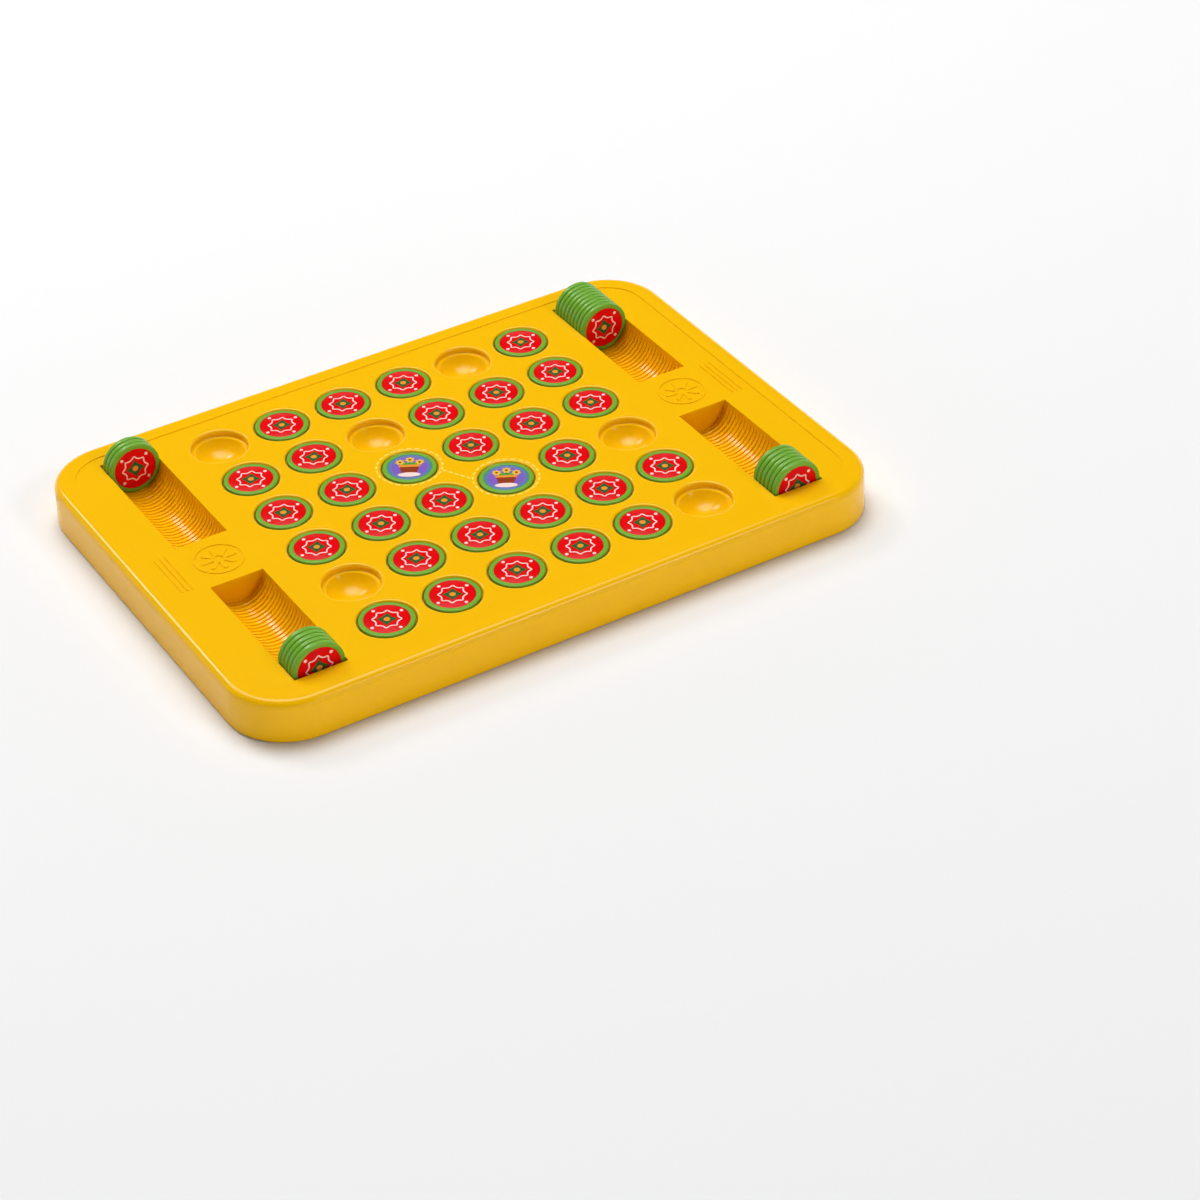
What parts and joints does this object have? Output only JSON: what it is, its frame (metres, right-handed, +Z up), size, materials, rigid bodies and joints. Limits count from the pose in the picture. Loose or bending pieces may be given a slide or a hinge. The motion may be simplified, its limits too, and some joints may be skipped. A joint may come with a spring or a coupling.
{
  "type": "memory card game board",
  "caption": "Flat rounded game board with a square grid of finger-dished pockets, ribbed side racks and loose round picture tokens.",
  "frame": {"origin": "centre of the board's footprint, on the surface that its moulded feet stand on", "axes": "+Z up out of the pockets, +X along the board's long side, +Y across it from the near long side to the far one"},
  "size_m": [0.377, 0.2676, 0.0383],
  "materials": {
    "board_plastic": "glossy moulded plastic",
    "cover_plastic": "fine matt moulded plastic",
    "screw_steel": "zinc plated",
    "token_plastic": "satin moulded plastic",
    "back_label": "printed and varnished paper",
    "picture_label": "printed and varnished paper"
  },
  "bodies": {
    "board": {"top_shell": "board_plastic", "bottom_cover": "cover_plastic", "cover_screws": "screw_steel"},
    "pocket_token_a1": {"pocket_token_a1": "token_plastic"},
    "pocket_token_a3": {"pocket_token_a3": "token_plastic"},
    "pocket_token_a4": {"pocket_token_a4": "token_plastic"},
    "pocket_token_a5": {"pocket_token_a5": "token_plastic"},
    "pocket_token_b1": {"pocket_token_b1": "token_plastic"},
    "pocket_token_b2": {"pocket_token_b2": "token_plastic"},
    "pocket_token_b3": {"pocket_token_b3": "token_plastic"},
    "pocket_token_b4": {"pocket_token_b4": "token_plastic"},
    "pocket_token_b5": {"pocket_token_b5": "token_plastic"},
    "pocket_token_b6": {"pocket_token_b6": "token_plastic"},
    "pocket_token_c1": {"pocket_token_c1": "token_plastic"},
    "pocket_token_c2": {"pocket_token_c2": "token_plastic"},
    "pocket_token_c3": {"pocket_token_c3": "token_plastic"},
    "pocket_token_c4": {"pocket_token_c4": "token_plastic"},
    "pocket_token_c6": {"pocket_token_c6": "token_plastic"},
    "pocket_token_d1": {"pocket_token_d1": "token_plastic"},
    "pocket_token_d2": {"pocket_token_d2": "token_plastic"},
    "pocket_token_d3": {"pocket_token_d3": "token_plastic"},
    "pocket_token_d4": {"pocket_token_d4": "token_plastic"},
    "pocket_token_d5": {"pocket_token_d5": "token_plastic"},
    "pocket_token_d6": {"pocket_token_d6": "token_plastic"},
    "pocket_token_e1": {"pocket_token_e1": "token_plastic"},
    "pocket_token_e2": {"pocket_token_e2": "token_plastic"},
    "pocket_token_e3": {"pocket_token_e3": "token_plastic"},
    "pocket_token_e4": {"pocket_token_e4": "token_plastic"},
    "pocket_token_e5": {"pocket_token_e5": "token_plastic"},
    "pocket_token_f2": {"pocket_token_f2": "token_plastic"},
    "pocket_token_f4": {"pocket_token_f4": "token_plastic"},
    "pocket_token_f5": {"pocket_token_f5": "token_plastic"},
    "pocket_token_f6": {"pocket_token_f6": "token_plastic"},
    "rack_token_far_left_1": {"rack_token_far_left_1": "token_plastic"},
    "rack_token_far_left_2": {"rack_token_far_left_2": "token_plastic"},
    "rack_token_far_left_3": {"rack_token_far_left_3": "token_plastic"},
    "rack_token_far_right_1": {"rack_token_far_right_1": "token_plastic"},
    "rack_token_far_right_2": {"rack_token_far_right_2": "token_plastic"},
    "rack_token_far_right_3": {"rack_token_far_right_3": "token_plastic"},
    "rack_token_far_right_4": {"rack_token_far_right_4": "token_plastic"},
    "rack_token_far_right_5": {"rack_token_far_right_5": "token_plastic"},
    "rack_token_far_right_6": {"rack_token_far_right_6": "token_plastic"},
    "rack_token_far_right_7": {"rack_token_far_right_7": "token_plastic"},
    "rack_token_far_right_8": {"rack_token_far_right_8": "token_plastic"},
    "rack_token_far_right_9": {"rack_token_far_right_9": "token_plastic"},
    "rack_token_near_left_1": {"rack_token_near_left_1": "token_plastic"},
    "rack_token_near_left_2": {"rack_token_near_left_2": "token_plastic"},
    "rack_token_near_left_3": {"rack_token_near_left_3": "token_plastic"},
    "rack_token_near_left_4": {"rack_token_near_left_4": "token_plastic"},
    "rack_token_near_left_5": {"rack_token_near_left_5": "token_plastic"},
    "rack_token_near_right_1": {"rack_token_near_right_1": "token_plastic"},
    "rack_token_near_right_2": {"rack_token_near_right_2": "token_plastic"},
    "rack_token_near_right_3": {"rack_token_near_right_3": "token_plastic"},
    "rack_token_near_right_4": {"rack_token_near_right_4": "token_plastic"},
    "rack_token_near_right_5": {"rack_token_near_right_5": "token_plastic"},
    "rack_token_near_right_6": {"rack_token_near_right_6": "token_plastic"}
  },
  "joints": [
    {"name": "lift_pocket_token_a1", "type": "slide", "parent": "board", "child": "pocket_token_a1", "axis": [0, 0, 1], "range_m": [0, 0.03]},
    {"name": "lift_pocket_token_a3", "type": "slide", "parent": "board", "child": "pocket_token_a3", "axis": [0, 0, 1], "range_m": [0, 0.03]},
    {"name": "lift_pocket_token_a4", "type": "slide", "parent": "board", "child": "pocket_token_a4", "axis": [0, 0, 1], "range_m": [0, 0.03]},
    {"name": "lift_pocket_token_a5", "type": "slide", "parent": "board", "child": "pocket_token_a5", "axis": [0, 0, 1], "range_m": [0, 0.03]},
    {"name": "lift_pocket_token_b1", "type": "slide", "parent": "board", "child": "pocket_token_b1", "axis": [0, 0, 1], "range_m": [0, 0.03]},
    {"name": "lift_pocket_token_b2", "type": "slide", "parent": "board", "child": "pocket_token_b2", "axis": [0, 0, 1], "range_m": [0, 0.03]},
    {"name": "lift_pocket_token_b3", "type": "slide", "parent": "board", "child": "pocket_token_b3", "axis": [0, 0, 1], "range_m": [0, 0.03]},
    {"name": "lift_pocket_token_b4", "type": "slide", "parent": "board", "child": "pocket_token_b4", "axis": [0, 0, 1], "range_m": [0, 0.03]},
    {"name": "lift_pocket_token_b5", "type": "slide", "parent": "board", "child": "pocket_token_b5", "axis": [0, 0, 1], "range_m": [0, 0.03]},
    {"name": "lift_pocket_token_b6", "type": "slide", "parent": "board", "child": "pocket_token_b6", "axis": [0, 0, 1], "range_m": [0, 0.03]},
    {"name": "lift_pocket_token_c1", "type": "slide", "parent": "board", "child": "pocket_token_c1", "axis": [0, 0, 1], "range_m": [0, 0.03]},
    {"name": "lift_pocket_token_c2", "type": "slide", "parent": "board", "child": "pocket_token_c2", "axis": [0, 0, 1], "range_m": [0, 0.03]},
    {"name": "lift_pocket_token_c3", "type": "slide", "parent": "board", "child": "pocket_token_c3", "axis": [0, 0, 1], "range_m": [0, 0.03]},
    {"name": "lift_pocket_token_c4", "type": "slide", "parent": "board", "child": "pocket_token_c4", "axis": [0, 0, 1], "range_m": [0, 0.03]},
    {"name": "lift_pocket_token_c6", "type": "slide", "parent": "board", "child": "pocket_token_c6", "axis": [0, 0, 1], "range_m": [0, 0.03]},
    {"name": "lift_pocket_token_d1", "type": "slide", "parent": "board", "child": "pocket_token_d1", "axis": [0, 0, 1], "range_m": [0, 0.03]},
    {"name": "lift_pocket_token_d2", "type": "slide", "parent": "board", "child": "pocket_token_d2", "axis": [0, 0, 1], "range_m": [0, 0.03]},
    {"name": "lift_pocket_token_d3", "type": "slide", "parent": "board", "child": "pocket_token_d3", "axis": [0, 0, 1], "range_m": [0, 0.03]},
    {"name": "lift_pocket_token_d4", "type": "slide", "parent": "board", "child": "pocket_token_d4", "axis": [0, 0, 1], "range_m": [0, 0.03]},
    {"name": "lift_pocket_token_d5", "type": "slide", "parent": "board", "child": "pocket_token_d5", "axis": [0, 0, 1], "range_m": [0, 0.03]},
    {"name": "lift_pocket_token_d6", "type": "slide", "parent": "board", "child": "pocket_token_d6", "axis": [0, 0, 1], "range_m": [0, 0.03]},
    {"name": "lift_pocket_token_e1", "type": "slide", "parent": "board", "child": "pocket_token_e1", "axis": [0, 0, 1], "range_m": [0, 0.03]},
    {"name": "lift_pocket_token_e2", "type": "slide", "parent": "board", "child": "pocket_token_e2", "axis": [0, 0, 1], "range_m": [0, 0.03]},
    {"name": "lift_pocket_token_e3", "type": "slide", "parent": "board", "child": "pocket_token_e3", "axis": [0, 0, 1], "range_m": [0, 0.03]},
    {"name": "lift_pocket_token_e4", "type": "slide", "parent": "board", "child": "pocket_token_e4", "axis": [0, 0, 1], "range_m": [0, 0.03]},
    {"name": "lift_pocket_token_e5", "type": "slide", "parent": "board", "child": "pocket_token_e5", "axis": [0, 0, 1], "range_m": [0, 0.03]},
    {"name": "lift_pocket_token_f2", "type": "slide", "parent": "board", "child": "pocket_token_f2", "axis": [0, 0, 1], "range_m": [0, 0.03]},
    {"name": "lift_pocket_token_f4", "type": "slide", "parent": "board", "child": "pocket_token_f4", "axis": [0, 0, 1], "range_m": [0, 0.03]},
    {"name": "lift_pocket_token_f5", "type": "slide", "parent": "board", "child": "pocket_token_f5", "axis": [0, 0, 1], "range_m": [0, 0.03]},
    {"name": "lift_pocket_token_f6", "type": "slide", "parent": "board", "child": "pocket_token_f6", "axis": [0, 0, 1], "range_m": [0, 0.03]},
    {"name": "lift_rack_token_far_left_1", "type": "slide", "parent": "board", "child": "rack_token_far_left_1", "axis": [0, 0, 1], "range_m": [0, 0.04]},
    {"name": "lift_rack_token_far_left_2", "type": "slide", "parent": "board", "child": "rack_token_far_left_2", "axis": [0, 0, 1], "range_m": [0, 0.04]},
    {"name": "lift_rack_token_far_left_3", "type": "slide", "parent": "board", "child": "rack_token_far_left_3", "axis": [0, 0, 1], "range_m": [0, 0.04]},
    {"name": "lift_rack_token_far_right_1", "type": "slide", "parent": "board", "child": "rack_token_far_right_1", "axis": [0, 0, 1], "range_m": [0, 0.04]},
    {"name": "lift_rack_token_far_right_2", "type": "slide", "parent": "board", "child": "rack_token_far_right_2", "axis": [0, 0, 1], "range_m": [0, 0.04]},
    {"name": "lift_rack_token_far_right_3", "type": "slide", "parent": "board", "child": "rack_token_far_right_3", "axis": [0, 0, 1], "range_m": [0, 0.04]},
    {"name": "lift_rack_token_far_right_4", "type": "slide", "parent": "board", "child": "rack_token_far_right_4", "axis": [0, 0, 1], "range_m": [0, 0.04]},
    {"name": "lift_rack_token_far_right_5", "type": "slide", "parent": "board", "child": "rack_token_far_right_5", "axis": [0, 0, 1], "range_m": [0, 0.04]},
    {"name": "lift_rack_token_far_right_6", "type": "slide", "parent": "board", "child": "rack_token_far_right_6", "axis": [0, 0, 1], "range_m": [0, 0.04]},
    {"name": "lift_rack_token_far_right_7", "type": "slide", "parent": "board", "child": "rack_token_far_right_7", "axis": [0, 0, 1], "range_m": [0, 0.04]},
    {"name": "lift_rack_token_far_right_8", "type": "slide", "parent": "board", "child": "rack_token_far_right_8", "axis": [0, 0, 1], "range_m": [0, 0.04]},
    {"name": "lift_rack_token_far_right_9", "type": "slide", "parent": "board", "child": "rack_token_far_right_9", "axis": [0, 0, 1], "range_m": [0, 0.04]},
    {"name": "lift_rack_token_near_left_1", "type": "slide", "parent": "board", "child": "rack_token_near_left_1", "axis": [0, 0, 1], "range_m": [0, 0.04]},
    {"name": "lift_rack_token_near_left_2", "type": "slide", "parent": "board", "child": "rack_token_near_left_2", "axis": [0, 0, 1], "range_m": [0, 0.04]},
    {"name": "lift_rack_token_near_left_3", "type": "slide", "parent": "board", "child": "rack_token_near_left_3", "axis": [0, 0, 1], "range_m": [0, 0.04]},
    {"name": "lift_rack_token_near_left_4", "type": "slide", "parent": "board", "child": "rack_token_near_left_4", "axis": [0, 0, 1], "range_m": [0, 0.04]},
    {"name": "lift_rack_token_near_left_5", "type": "slide", "parent": "board", "child": "rack_token_near_left_5", "axis": [0, 0, 1], "range_m": [0, 0.04]},
    {"name": "lift_rack_token_near_right_1", "type": "slide", "parent": "board", "child": "rack_token_near_right_1", "axis": [0, 0, 1], "range_m": [0, 0.04]},
    {"name": "lift_rack_token_near_right_2", "type": "slide", "parent": "board", "child": "rack_token_near_right_2", "axis": [0, 0, 1], "range_m": [0, 0.04]},
    {"name": "lift_rack_token_near_right_3", "type": "slide", "parent": "board", "child": "rack_token_near_right_3", "axis": [0, 0, 1], "range_m": [0, 0.04]},
    {"name": "lift_rack_token_near_right_4", "type": "slide", "parent": "board", "child": "rack_token_near_right_4", "axis": [0, 0, 1], "range_m": [0, 0.04]},
    {"name": "lift_rack_token_near_right_5", "type": "slide", "parent": "board", "child": "rack_token_near_right_5", "axis": [0, 0, 1], "range_m": [0, 0.04]},
    {"name": "lift_rack_token_near_right_6", "type": "slide", "parent": "board", "child": "rack_token_near_right_6", "axis": [0, 0, 1], "range_m": [0, 0.04]}
  ]
}
